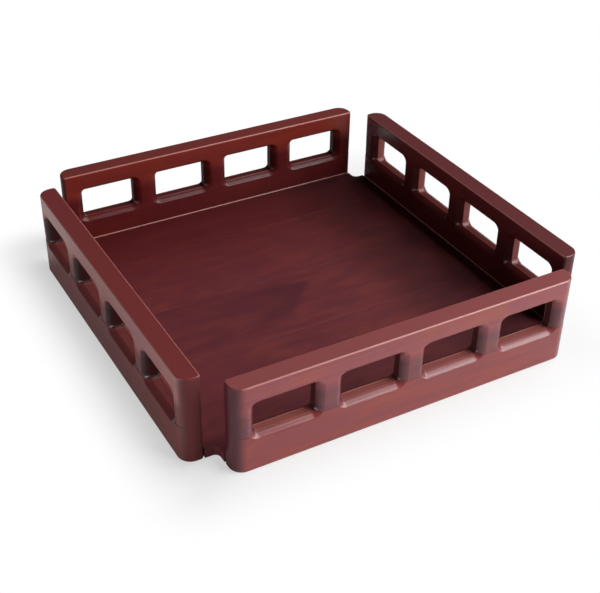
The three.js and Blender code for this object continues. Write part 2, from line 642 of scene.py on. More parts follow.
@dataclass(frozen=True)
class Mark:
    """One size of mark in the wood, drawn out along the grain.

    Attributes:
        length: Its length along the grain.
        width: Its width across it.
        band: The strengths of the noise between which the mark comes out.
        detail: How many finer sizes are laid over it.
        bend: How far the marks wander.
        unevenness: How strongly the finer sizes show.
    """

    length: float
    width: float
    band: tuple[float, float]
    detail: float
    bend: float
    unevenness: float = 0.55

    def drawn(self, plank: Pattern) -> Pattern:
        """Draws the marks.

        Args:
            plank: The place in the plank, which has its X axis along the grain.

        Returns:
            The marks' strength.
        """
        size = {"Vector": plank, "Scale": (1 / self.length, 1 / self.width, 1 / self.width)}
        noise = {
            "Vector": Pattern.of(plank.tree, "ShaderNodeMapping", "Vector", size),
            "Scale": 1.0,
            "Detail": self.detail,
            "Roughness": self.unevenness,
            "Distortion": self.bend,
        }
        return Pattern.of(plank.tree, "ShaderNodeTexNoise", "Fac", noise).spread(*self.band)


@dataclass(frozen=True)
class StainedHardwood:
    """Close-grained tropical hardwood, planed and sanded, with red-brown spirit stain under satin lacquer.

    The stain soaks in unevenly, so the eye sees warm clouds where it lies thin, dark streaks where the growth
    rings drank it, and short dark pores. The lacquer lies over the pores without filling them, and gives
    broad, soft reflections. The real pores are too fine to be seen from here, so they are drawn coarser.

    Attributes:
        body: The stain's colour on plain wood.
        warm: Its colour where it lies thin.
        dark: Its colour in streaks and pores.
        clouds: The warm clouds.
        streaks: The dark streaks, which are as wide as the growth rings on the face.
        streak_share: How strongly the streaks show.
        pores: The pores.
        pore_share: How strongly the pores show.
        pore_depth: How deep they are.
        pore_relief: How much of their depth shows through the lacquer.
        end_share: How strongly the cuts across the grain darken.
        end_thirst: How much of the lacquer sinks into them, which leaves them dull.
        end_facing: The cosines of the angles to the grain between which the lacquer starts to sink in.
        roughness: The roughness of the wood under the lacquer.
        thin_roughness: How much rougher it is where the stain lies thin.
        wood_index: The refractive index of the wood and its stain.
        wood_gloss: The strength of the wood's own reflection, where a half is that of a smooth surface.
        lacquer: How much of the wood the lacquer covers.
        lacquer_index: The lacquer's refractive index.
        lacquer_roughness: The lacquer's own roughness.
    """

    body: str
    warm: str
    dark: str
    clouds: Mark = Mark(60 * MM, 16 * MM, band=(0.38, 0.68), detail=3.0, bend=0.6)
    streaks: Mark = Mark(140 * MM, 3.2 * MM, band=(0.46, 0.68), detail=4.0, bend=0.25)
    streak_share: float = 0.18
    pores: Mark = Mark(5 * MM, 0.5 * MM, band=(0.6, 0.7), detail=1.0, bend=0.0)
    pore_share: float = 0.2
    pore_depth: float = 0.04 * MM
    pore_relief: float = 0.35
    end_share: float = 0.85
    end_thirst: float = 0.7
    end_facing: tuple[float, float] = (0.5, 0.9)
    roughness: float = 0.5
    thin_roughness: float = 0.07
    wood_index: float = 1.5
    wood_gloss: float = 0.1
    lacquer: float = 1.0
    lacquer_index: float = 1.47
    lacquer_roughness: float = 0.24

    def dress(
        self, piece: Object, node: str, slot: str, side: Side, cut: float, patches: tuple[Patch, ...]
    ) -> None:
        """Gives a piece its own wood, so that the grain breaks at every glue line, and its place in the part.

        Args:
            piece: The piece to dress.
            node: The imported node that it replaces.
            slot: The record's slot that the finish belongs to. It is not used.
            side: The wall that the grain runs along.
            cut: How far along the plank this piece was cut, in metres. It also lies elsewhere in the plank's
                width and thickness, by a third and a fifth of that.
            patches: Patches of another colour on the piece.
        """
        material = bpy.data.materials.new(f"lacquered_{piece.name}")
        tree = cleared_tree(material)
        place = Pattern.of(tree, "ShaderNodeTexCoord", "Object")
        in_plank = {"Vector": place, "Rotation": (0, 0, -side.angle), "Location": (cut, cut / 3, cut / 5)}
        plank = Pattern.of(tree, "ShaderNodeMapping", "Vector", in_plank)
        warmth, depth, pits = (mark.drawn(plank) for mark in (self.clouds, self.streaks, self.pores))
        ends = EndGrain(self.dark, self.end_share, side.along)
        colour = warmth.blended(linear(self.body), self.warm)
        colour = (depth * self.streak_share).blended(colour, self.dark)
        for patch in (ends, *patches):
            colour = patch.mask(place).blended(colour, patch.colour)
        relief = {"Height": pits, "Strength": self.pore_relief, "Distance": self.pore_depth}
        thirst = ends.exposed(tree, *self.end_facing)
        wood = {
            "Base Color": (pits * self.pore_share).blended(colour, self.dark),
            "Roughness": warmth * self.thin_roughness + self.roughness,
            "IOR": self.wood_index,
            "Specular IOR Level": self.wood_gloss,
            "Normal": Pattern.of(tree, "ShaderNodeBump", "Normal", relief, invert=True),
            "Coat Weight": thirst.worked("MULTIPLY_ADD", -self.end_thirst * self.lacquer, self.lacquer),
            "Coat Roughness": self.lacquer_roughness,
            "Coat IOR": self.lacquer_index,
        }
        surface = Pattern.of(tree, "ShaderNodeBsdfPrincipled", "BSDF", wood)
        add_node(tree, "ShaderNodeOutputMaterial", {"Surface": surface})
        piece.data.materials.clear()
        piece.data.materials.append(material)
        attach(piece, BODY)
        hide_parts(node)
        LOG.info("%s: %d faces, for %s", piece.name, len(piece.data.polygons), node)


@dataclass(frozen=True)
class RouterBit:
    """The full-bellied bevel that the router leaves between a window's flat land and a face of the wall.

    Attributes:
        depth: How deep the bevel reaches from the face.
        reach: How far it widens the window to each side at the face.
        rise: How far it widens the window up and down.
        belly: How far the bevel's arc turns between the land and the face.
        ease: The radius that sanding gives the crisp outline on the face.
        step: The small step that the bit's bearing leaves at the land.
        ridge: The fine ridge that it leaves where the land ends on the tray's inner side.
        arc_steps: The facets of the bevel.
        ease_steps: The points of the sanded outline.
    """

    depth: float = 4.6 * MM
    reach: float = 5.6 * MM
    rise: float = 3.6 * MM
    belly: float = math.radians(40)
    ease: float = 0.6 * MM
    step: float = 0.15 * MM
    ridge: float = 0.35 * MM
    arc_steps: int = 8
    ease_steps: int = 3

    def stations(self) -> list[tuple[float, float]]:
        """Walks from the face to the land.

        Returns:
            Pairs of the depth under the face and the reach beyond the land's outline.
        """
        arc_reach = self.reach - self.step
        radius = math.hypot(arc_reach, self.depth) / (2 * math.sin(self.belly / 2))
        at_land = math.atan2(arc_reach, self.depth) - self.belly / 2
        corner = math.pi / 2 - at_land - self.belly
        sanded = self.ease * math.tan(corner / 2)
        outline = [
            (self.ease * (1 - math.cos(angle)), self.reach + sanded - self.ease * math.sin(angle))
            for angle in (corner * step / (self.ease_steps - 1) for step in range(self.ease_steps))
        ]
        shares = (1 - step / self.arc_steps for step in range(1, self.arc_steps + 1))
        bevel = [
            (
                self.depth - radius * (math.sin(angle) - math.sin(at_land)),
                self.step + radius * (math.cos(at_land) - math.cos(angle)),
            )
            for angle in (at_land + self.belly * share for share in shares)
        ]
        return [*outline, *bevel, (self.depth + self.step, 0.0)]

    def ridged_stations(self) -> list[tuple[float, float]]:
        """Walks from the inner face to the land over the ridge, in the same pairs."""
        return [*self.stations()[:-2], (self.depth, -self.ridge), (self.depth + self.ridge, 0.0)]


@dataclass(frozen=True)
class WallSizes:
    """The front wall's sizes. The other walls are the same, turned.

    Attributes:
        half_length: From the wall's middle to its end.
        outer: Where its outer face stands on the Y axis.
        inner: Where its inner face stands.
        height: Its height.
        lower_glue_line: The height at which the posts stand on the bottom rail.
        upper_glue_line: The height at which the top rail lies on them.
        pitch: The spacing of the windows.
        floor_top: The height of the floor's upper face.
        end: The rounding of its ends towards the outer face.
        inner_end: Their rounding towards the inner face.
        rim: The rounding of its upper and lower edges.
        post_width: A post's width on the face.
        window_count: The number of windows.
        window_sill: The height at which the windows' outlines start.
        window_head: How far under the top they end.
        corner_radius: The radius of their corners.
    """

    half_length: float
    outer: float
    inner: float
    height: float
    lower_glue_line: float
    upper_glue_line: float
    pitch: float
    floor_top: float
    end: Round = Round(10 * MM, steps=14)
    inner_end: Round = Round(2.5 * MM, steps=7)
    rim: Round = Round(1.2 * MM, steps=4)
    post_width: float = 8.8 * MM
    window_count: int = 4
    window_sill: float = 25.5 * MM
    window_head: float = 13 * MM
    corner_radius: float = 8 * MM

    @classmethod
    def packed(cls) -> WallSizes:
        """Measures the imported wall.

        Returns:
            The wall's sizes.
        """
        low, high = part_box("front_bottom_rail")
        top_low, top_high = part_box("front_top_rail")
        left, right = (sum(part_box(f"front_post_{place}"), Vector()) / 2 for place in (2, 3))
        return cls(
            half_length=high.x,
            outer=low.y,
            inner=high.y,
            height=top_high.z,
            lower_glue_line=high.z,
            upper_glue_line=top_low.z,
            pitch=right.x - left.x,
            floor_top=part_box("floor_board_1")[1].z,
        )

    @property
    def middle(self) -> float:
        """Where the wall's mid-plane stands on the Y axis."""
        return (self.outer + self.inner) / 2

    @property
    def window_half(self) -> Vector:
        """Half a window's width and height where its outline meets a face."""
        height = self.height - self.window_sill - self.window_head
        return Vector(((self.pitch - self.post_width) / 2, 0, height / 2))

    @property
    def window_middle(self) -> float:
        """The height of the windows' middles."""
        return self.window_sill + self.window_half.z


@dataclass(frozen=True)
class WallFinish:
    """The wood that each strip of a wall is made of, and the places where its colour differs, most of them
    painted light and shade.

    Attributes:
        top_rail: The wood of the strip over the windows.
        post: The wood between them.
        bottom_rail: The wood of the strip under them.
        top_face_shading: The top face's colour, which paints the light and sheen that fall there, lighter or
            darker than the wall's sides.
        sill: The colour of the windows' lower edges, which paints their light and shade.
        jamb: The colour of their sides, which paints their light and shade; in the left wall it is a painted
            shade.
        end: The dark stain that the wall's rounded ends have soaked up.
        edge_highlight: The pale colour along its upper edges, a painted highlight on their roundings.
        corner_line: The colour of the hollow of lacquer over the floor, which is paler than the wood; the
            paleness is partly the hollow's own and partly a painted highlight along it.
        window_depth: How deep under the wall's faces the windows' painted light and shade starts.
    """

    top_rail: StainedHardwood
    post: StainedHardwood
    bottom_rail: StainedHardwood
    top_face_shading: str
    sill: str
    jamb: str
    end: str
    # The pale colour of the painted highlight along the upper edges.
    edge_highlight: str = "b5766c"
    corner_line: str = "a8746a"
    window_depth: float = 5 * MM

    def of(self, strip: Strip) -> StainedHardwood:
        """Picks the wood of one kind of strip."""
        return {
            Strip.TOP_RAIL: self.top_rail,
            Strip.POST: self.post,
            Strip.BOTTOM_RAIL: self.bottom_rail,
        }[strip]


@dataclass(frozen=True)
class WallStains:
    """Places the other colours of a wall, most of which paint light and shade.

    Attributes:
        sizes: The wall's sizes.
        overrun: How far the zone of the windows' painted light and shade runs past the row of windows.
        fillet: The size of the hollow of lacquer over the floor.
        fillet_softness: The width over which its colour fades in.
        end_facing: The cosines of the angles to the grain between which a rounded end darkens.
        end_softness: The length over which its colour fades in.
        top_reach: How far down the top face's painted light reaches.
        top_share: How much of it shows.
        wiped_reach: How far down the posts the top rail's colour fades in.
        wiped_share: How much of it shows there.
        highlight_start: Where in the rounded edge the painted highlight shows most, as a share of its radius.
        highlight_share: How much of the painted highlight shows.
    """

    sizes: WallSizes
    overrun: float
    fillet: float
    fillet_softness: float = 0.2 * MM
    end_facing: tuple[float, float] = (0.15, 0.75)
    end_softness: float = 1 * MM
    top_reach: float = 0.8 * MM
    top_share: float = 1.0
    wiped_reach: float = 8 * MM
    wiped_share: float = 0.85
    highlight_start: float = 0.35
    highlight_share: float = 0.75

    def on(self, side: Side, finish: WallFinish) -> dict[Strip, tuple[Patch, ...]]:
        """Places the other colours of one wall, most of which paint light and shade.

        Args:
            side: The wall.
            finish: The wall's colours.

        Returns:
            The patches of each kind of strip.
        """
        size = self.sizes
        # The windows' sides and sills get colours of their own, set wall by wall to paint the light and shade
        # in them.
        window = partial(
            Zone.on_wall,
            side=side,
            outward=(-size.inner + finish.window_depth, -size.outer - finish.window_depth),
            half_length=(size.window_count * size.pitch - size.post_width) / 2 + self.overrun,
            heights=(size.window_sill, size.height - size.window_head),
        )
        # A pale line along the foot of the wall's inner face, partly a painted highlight of the hollow of
        # lacquer.
        corner = Zone.on_wall(
            finish.corner_line,
            side,
            outward=(-size.inner - self.fillet, -size.inner),
            half_length=size.half_length - size.inner_end.radius,
            heights=(size.floor_top, size.floor_top + self.fillet),
            softness=self.fillet_softness,
        )
        end_start = size.half_length - size.end.radius
        rounding = Ramp(side.along, end_start, end_start + self.end_softness, both_ways=True)
        soaked = EndGrain(finish.end, share=1.0, grain=side.along, facing=self.end_facing, ramps=(rounding,))
        # The top face gets a colour of its own that paints the light on it: lighter than the sides on most
        # walls, darker on the left.
        top_face_shading = Zone.under(finish.top_face_shading, size.height, self.top_reach, self.top_share)
        wiped = Zone.under(finish.top_rail.body, size.upper_glue_line, self.wiped_reach, self.wiped_share)
        return {
            Strip.TOP_RAIL: (soaked, top_face_shading, *self._painted_edge_highlights(side, finish.edge_highlight)),
            Strip.POST: (wiped, window(finish.jamb), soaked),
            Strip.BOTTOM_RAIL: (window(finish.sill), corner, soaked),
        }

    def _painted_edge_highlights(self, side: Side, colour: str) -> list[Zone]:
        """Places the painted highlight, a pale colour, in the wall's two rounded upper edges.

        Args:
            side: The wall.
            colour: The painted highlight's colour.

        Returns:
            The outer edge's zone and the inner edge's.
        """
        size = self.sizes
        start, most = size.rim.radius, self.highlight_start * size.rim.radius
        near_top = Ramp(UP, size.height - start, size.height - most)
        near_faces = (
            Ramp(side.outward, -size.outer - start, -size.outer - most),
            Ramp(side.outward, -size.inner + start, -size.inner + most),
        )
        # A pale colour along both rounded upper edges: a painted highlight.
        return [Zone(colour, (near_face, near_top), self.highlight_share) for near_face in near_faces]


@dataclass
class Walls:
    """The four walls, each a bottom rail, five posts and a top rail, routed through as one.

    Attributes:
        sizes: The front wall's sizes.
        bit: The bevel of the windows.
        finishes: The wood of each wall's strips.
        corner_steps: The facets of a window's corner.
        overrun: How far every cut runs past the wall.
        post_hollow: How much thinner the posts are sanded than the bottom rail.
        seam: The softening of the ledge where the posts stand.
        fillet: The width of the lacquer that has run into the corner over the floor.
        fillet_face: The hollow of its face, which leaves a thin edge on the wall and the floor.
        cut_spacing: How far apart in the plank the pieces were cut, in metres.
    """

    sizes: WallSizes
    bit: RouterBit
    finishes: dict[Side, WallFinish]
    corner_steps: int = 12
    overrun: float = 2 * MM
    post_hollow: float = 0.25 * MM
    seam: Round = Round(0.15 * MM, steps=2)
    fillet: float = 0.6 * MM
    fillet_face: Round = Round(0.552 * MM, steps=4, fullness=0.3)
    cut_spacing: float = 0.37

    def build(self) -> list[Object]:
        """Makes the front wall's pieces, then copies them to the other sides.

        Returns:
            All the walls' pieces, dressed.
        """
        parts = self._parted(self._routed_wall())
        stains = WallStains(self.sizes, self.overrun, self.fillet)
        pieces = []
        for side in Side:
            finish = self.finishes[side]
            patches = stains.on(side, finish)
            for part, (solid, strip) in parts.items():
                node = f"{side.word}_{part}"
                piece = Bench.copy(solid, f"{node}_routed", side.turn)
                cut = self.cut_spacing * len(pieces)
                finish.of(strip).dress(piece, node, strip.value, side, cut, patches[strip])
                pieces.append(piece)
        Bench.remove(*(solid for solid, _ in parts.values()))
        return pieces

    def _blank(self) -> Object:
        """Planes the front wall's blank, with its ends and rims rounded.

        Returns:
            The blank.
        """
        size = self.sizes
        low = Vector((-size.half_length, size.outer, 0))
        high = Vector((size.half_length, size.inner, size.height))
        blank = Bench.block("wall_blank", low, high)

        def upright_at(face: float) -> EdgeTest:
            """Finds the upright edges that stand in one face."""
            return lambda a, b: abs(a.z - b.z) > size.height / 2 and both_at(a.y, b.y, face)

        def on_rim(a: Vector, b: Vector) -> bool:
            """Finds the edges that run round the top and the bottom."""
            return abs(a.z - b.z) < HAIR

        Bench.round_over(blank, upright_at(size.outer), size.end)
        Bench.round_over(blank, upright_at(size.inner), size.inner_end)
        Bench.round_over(blank, on_rim, size.rim)
        return blank

    def _cutter(self) -> Object:
        """Shapes what the router takes out of the wall for a window.

        Returns:
            The cutter, in the wall's middle.
        """
        size = self.sizes
        land_radius = size.corner_radius - (self.bit.reach + self.bit.rise) / 2
        half = size.window_half - Vector((self.bit.reach, 0, self.bit.rise))
        centre = Vector((0, size.middle, size.window_middle))
        reach = Vector((half.x, (size.inner - size.outer) / 2 + self.overrun, half.z))
        cutter = Bench.block("window_cutter", centre - reach, centre + reach)
        corner = Round(land_radius, self.corner_steps)
        Bench.round_over(cutter, lambda a, b: abs(a.y - b.y) > self.overrun, corner)
        sides = ((size.outer, 1, self.bit.stations()), (size.inner, -1, self.bit.ridged_stations()))
        for face, inward, stations in sides:
            for depth, _ in stations:
                Bench.saw(cutter, Y_WAY, face + inward * depth)
        for face, inward, stations in sides:
            for depth, widening in stations:
                self._widen(cutter, half, land_radius, face + inward * depth, widening)
            self._widen(cutter, half, land_radius, face - inward * self.overrun, stations[0][1])
        return cutter

    def _widen(self, cutter: Object, half: Vector, radius: float, place: float, widening: float) -> None:
        """Widens one ring of the cutter.

        Args:
            cutter: The cutter.
            half: Half the land's width and height.
            radius: The land's corner radius.
            place: Where the ring lies on the Y axis.
            widening: How far the ring moves out to the sides; up and down, it is the bit's share of that.
        """
        middle = Vector((0, 0, self.sizes.window_middle))
        factors = (1 + widening / radius, 1, 1 + widening * self.bit.rise / self.bit.reach / radius)
        for right in (-1, 1):
            for up in (-1, 1):
                corner = middle + Vector((right * (half.x - radius), place, up * (half.z - radius)))

                def in_corner(point: Vector) -> bool:
                    """Finds the ring's points round this corner."""
                    offset = point - corner
                    return abs(offset.y) < HAIR and offset.x * right > -HAIR and offset.z * up > -HAIR

                Bench.stretch(cutter, in_corner, factors, corner)

    def _routed_wall(self) -> Object:
        """Routes the row of windows through the blank.

        Returns:
            The routed wall.
        """
        blank = self._blank()
        cutter = self._cutter()
        first = (1 - self.sizes.window_count) / 2
        for place in range(self.sizes.window_count):
            shift = Matrix.Translation(Vector(((first + place) * self.sizes.pitch, 0, 0)))
            Bench.combine(blank, Bench.copy(cutter, "window_tool", shift), "DIFFERENCE")
        Bench.remove(cutter)
        return blank

    def _parted(self, routed: Object) -> dict[str, tuple[Object, Strip]]:
        """Parts the routed wall along its glue lines.

        Args:
            routed: The routed wall, which is used up.

        Returns:
            Each part's solid and kind, by the part's name.
        """
        size = self.sizes
        bottom = Bench.copy(routed, "bottom_rail")
        Bench.saw(bottom, UP, size.lower_glue_line, keep_behind=True)
        top = Bench.copy(routed, "top_rail")
        Bench.saw(top, UP, size.upper_glue_line, keep_behind=False)
        Bench.saw(routed, UP, size.lower_glue_line, keep_behind=False)
        Bench.saw(routed, UP, size.upper_glue_line, keep_behind=True)
        self._hollow_posts(routed)
        self._ease_ledge(bottom)
        self._fill_corner(bottom)
        posts = self._separate(routed)
        for solid in (bottom, top, *posts):
            Bench.smooth(solid)
        parts = {"bottom_rail": (bottom, Strip.BOTTOM_RAIL), "top_rail": (top, Strip.TOP_RAIL)}
        for place, post in enumerate(posts, start=1):
            parts[f"post_{place}"] = (post, Strip.POST)
        return parts

    def _hollow_posts(self, posts: Object) -> None:
        """Sands the posts a little thinner, most at the bottom, so that the bottom rail stands proud.

        Args:
            posts: The row of posts.
        """
        size = self.sizes
        straight_low = size.window_sill + size.corner_radius
        straight_high = size.height - size.window_head - size.corner_radius
        for height in (straight_low, straight_high):
            Bench.saw(posts, UP, height)
        factors = (1, 1 - 2 * self.post_hollow / (size.inner - size.outer), 1)
        middle = Vector((0, size.middle, 0))
        Bench.stretch(posts, lambda point: point.z < straight_low + HAIR, factors, middle)

    def _ease_ledge(self, rail: Object) -> None:
        """Softens the bottom rail's upper edges along both faces, where they stand proud of the posts.

        Args:
            rail: The bottom rail.
        """
        size = self.sizes

        def on_ledge(a: Vector, b: Vector) -> bool:
            """Finds the edges of the seam that lie in a face."""
            in_face = any(both_at(a.y, b.y, face) for face in (size.outer, size.inner))
            return in_face and both_at(a.z, b.z, size.lower_glue_line)

        Bench.round_over(rail, on_ledge, self.seam)

    def _fill_corner(self, rail: Object) -> None:
        """Lays the hollow of lacquer along the bottom rail, in the corner over the floor.

        Args:
            rail: The bottom rail.
        """
        size = self.sizes
        reach = size.half_length - size.inner_end.radius
        low = Vector((-reach, size.inner - self.fillet, size.floor_top))
        high = Vector((reach, size.inner + self.fillet, size.floor_top + self.fillet))
        hollow = Bench.block("corner_fillet", low, high)

        def on_crest(a: Vector, b: Vector) -> bool:
            """Finds the edge that is hollowed."""
            over_floor = min(a.z, b.z) > size.floor_top + HAIR
            return min(a.y, b.y) > size.inner and over_floor and abs(a.x - b.x) > HAIR

        Bench.round_over(hollow, on_crest, self.fillet_face)
        Bench.combine(rail, hollow, "UNION")

    @staticmethod
    def _separate(posts: Object) -> list[Object]:
        """Takes the row of posts apart.

        Args:
            posts: The row as one object, which becomes one of the posts.

        Returns:
            The posts from left to right.
        """
        with Bench.opened(posts):
            bpy.ops.mesh.separate(type="LOOSE")
        return sorted(bpy.context.selected_objects, key=lambda post: post.data.vertices[0].co.x)


@dataclass
class Floor:
    """The floor: four boards glued edge to edge, with a notch at each corner of the tray.

    Attributes:
        walls: The walls' sizes, which the notches line up with.
        woods: The wood of each board, from front to back.
        shades: The darker zones: towards the back, and a painted shadow in a strip along the right wall.
        figure: The dark tongue of heartwood.
        figure_board: The board that the heartwood lies in, counted from the front.
        notch: The hollow in a notch's inner corner.
        edge: The softening of the edges that show in the notches.
        joint: The chamfer along a glue line between boards.
        seat: The clearance between the panel and the walls.
        shoulder: The step over and under a tongue.
        tongue_stop: How far a tongue stops short of a wall's end.
        overrun: How far a cut runs past the panel.
        cut_spacing: How far apart in the plank the boards were cut, in metres.
    """

    walls: WallSizes
    woods: tuple[StainedHardwood, ...]
    shades: tuple[Patch, ...]
    figure: Heartwood = Heartwood()
    figure_board: int = 2
    notch: Round = Round(4 * MM, steps=8)
    edge: Round = Round(0.7 * MM, steps=3)
    joint: Round = Round(0.05 * MM, steps=1)
    seat: float = 0.3 * MM
    shoulder: float = 2 * MM
    tongue_stop: float = 14 * MM
    overrun: float = 2 * MM
    cut_spacing: float = 0.61

    def build(self) -> list[Object]:
        """Makes the panel, saws it into its boards and dresses them.

        Returns:
            The boards from front to back.
        """
        boxes = [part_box(f"floor_board_{place}") for place in range(1, len(self.woods) + 1)]
        joints = [low.y for low, _ in boxes[1:]]
        panel = self._panel(tongue_tip=boxes[0][1].x)
        boards = []
        for place, wood in enumerate(self.woods, start=1):
            node = f"floor_board_{place}"
            board = Bench.copy(panel, f"{node}_planed")
            if place > 1:
                Bench.saw(board, Y_WAY, joints[place - 2], keep_behind=False)
            if place < len(self.woods):
                Bench.saw(board, Y_WAY, joints[place - 1], keep_behind=True)
            self._ease_joints(board, joints)
            Bench.smooth(board)
            patches = (*self.shades, self.figure) if place == self.figure_board else self.shades
            wood.dress(board, node, "floor_wood", Side.FRONT, self.cut_spacing * place, patches)
            boards.append(board)
        Bench.remove(panel)
        return boards

    def _panel(self, tongue_tip: float) -> Object:
        """Glues up the panel, notches its corners and gives it its tongues.

        Args:
            tongue_tip: How far from the tray's middle a tongue ends.

        Returns:
            The panel.
        """
        thickness = self.walls.floor_top
        half = -self.walls.inner - self.seat
        corner = self.walls.half_length
        panel = Bench.block("floor_panel", Vector((-half, -half, 0)), Vector((half, half, thickness)))
        for side in Side:
            low = Vector((corner, -half - self.overrun, -self.overrun))
            high = Vector((half + self.overrun, -corner, thickness + self.overrun))
            tool = Bench.block("notch_tool", low, high)

            def inner_edge(a: Vector, b: Vector) -> bool:
                """Finds the upright edge in the notch's inner corner."""
                return both_at(a.x, b.x, corner) and both_at(a.y, b.y, -corner)

            Bench.round_over(tool, inner_edge, self.notch)
            tool.data.transform(side.turn)
            Bench.combine(panel, tool, "DIFFERENCE")

        def shows_in_notch(a: Vector, b: Vector) -> bool:
            """Finds the level edges round the notches."""
            in_notch = all(min(abs(end.x), abs(end.y)) > corner - HAIR for end in (a, b))
            return in_notch and abs(a.z - b.z) < HAIR

        Bench.round_over(panel, shows_in_notch, self.edge)
        stop = corner - self.tongue_stop
        for reach in (Vector((tongue_tip, stop, 0)), Vector((stop, tongue_tip, 0))):
            low = Vector((-reach.x, -reach.y, self.shoulder))
            high = Vector((reach.x, reach.y, thickness - self.shoulder))
            Bench.combine(panel, Bench.block("tongue", low, high), "UNION")
        return panel

    def _ease_joints(self, board: Object, joints: list[float]) -> None:
        """Softens a board's upper edges along its glue lines.

        Args:
            board: The board.
            joints: Where the glue lines lie on the Y axis.
        """

        def at_joint(a: Vector, b: Vector) -> bool:
            """Finds the upper edges that lie in a glue line."""
            on_top = min(a.z, b.z) > self.walls.floor_top - HAIR
            return on_top and any(both_at(a.y, b.y, joint) for joint in joints)

        Bench.round_over(board, at_joint, self.joint)


@dataclass(frozen=True)
class PhotoCamera:
    """The camera that took the photograph, worked out from the tray's long edges.

    Attributes:
        azimuth: Its turn about the tray, in degrees from the front.
        elevation: Its height over the horizon, in degrees.
        roll: Its tilt, in degrees.
        place: Where it stands.
        focal_pixels: Its focal length in pixels of the photograph.
        image_width: The photograph's width in pixels.
        film_width: The film's width in millimetres.
        nearest: The distance from which it sees.
        furthest: The distance up to which it sees, in metres.
    """

    azimuth: float = -29.933
    elevation: float = 34.477
    roll: float = 1.126
    place: Way = (-375.0 * MM, -655.2 * MM, 517.9 * MM)
    focal_pixels: float = 1122.4
    image_width: int = 600
    film_width: float = 36.0
    nearest: float = 10 * MM
    furthest: float = 20.0

    def set_up(self) -> None:
        """Puts the camera in its place and makes it the scene's."""
        bpy.ops.object.camera_add(location=self.place)
        camera = bpy.context.object
        camera.name = "photo_camera"
        back = direction(FRONT_TURN + self.azimuth, self.elevation)
        level = Vector(UP).cross(back).normalized()
        roll = math.radians(self.roll)
        right = math.cos(roll) * level + math.sin(roll) * back.cross(level)
        camera.rotation_euler = Matrix((right, back.cross(right), back)).transposed().to_euler()
        lens = self.focal_pixels / self.image_width * self.film_width
        adjust(camera.data, sensor_width=self.film_width, lens=lens)
        adjust(camera.data, clip_start=self.nearest, clip_end=self.furthest)
        bpy.context.scene.camera = camera


@dataclass(frozen=True)
class Softbox:
    """A lamp with a cloth front.

    Attributes:
        name: The lamp's name.
        turn: Its turn about the tray from the X axis, in degrees, seen from above.
        height: Its height over the horizon, in degrees.
        width: The level width of its cloth, in metres.
        length: The other width of its cloth, in metres.
        power: Its power in watts.
        distance: Its distance from the tray, in metres.
    """

    name: str
    turn: float
    height: float
    width: float
    length: float
    power: float
    distance: float = 2.4

    def set_up(self) -> None:
        """Hangs the lamp and aims it at the tray."""
        towards = direction(self.turn, self.height)
        aim = towards.to_track_quat("Z", "Y").to_euler()
        bpy.ops.object.light_add(type="AREA", location=towards * self.distance, rotation=aim)
        lamp = bpy.context.object
        lamp.name = self.name
        adjust(lamp.data, energy=self.power, shape="RECTANGLE", size=self.width, size_y=self.length)


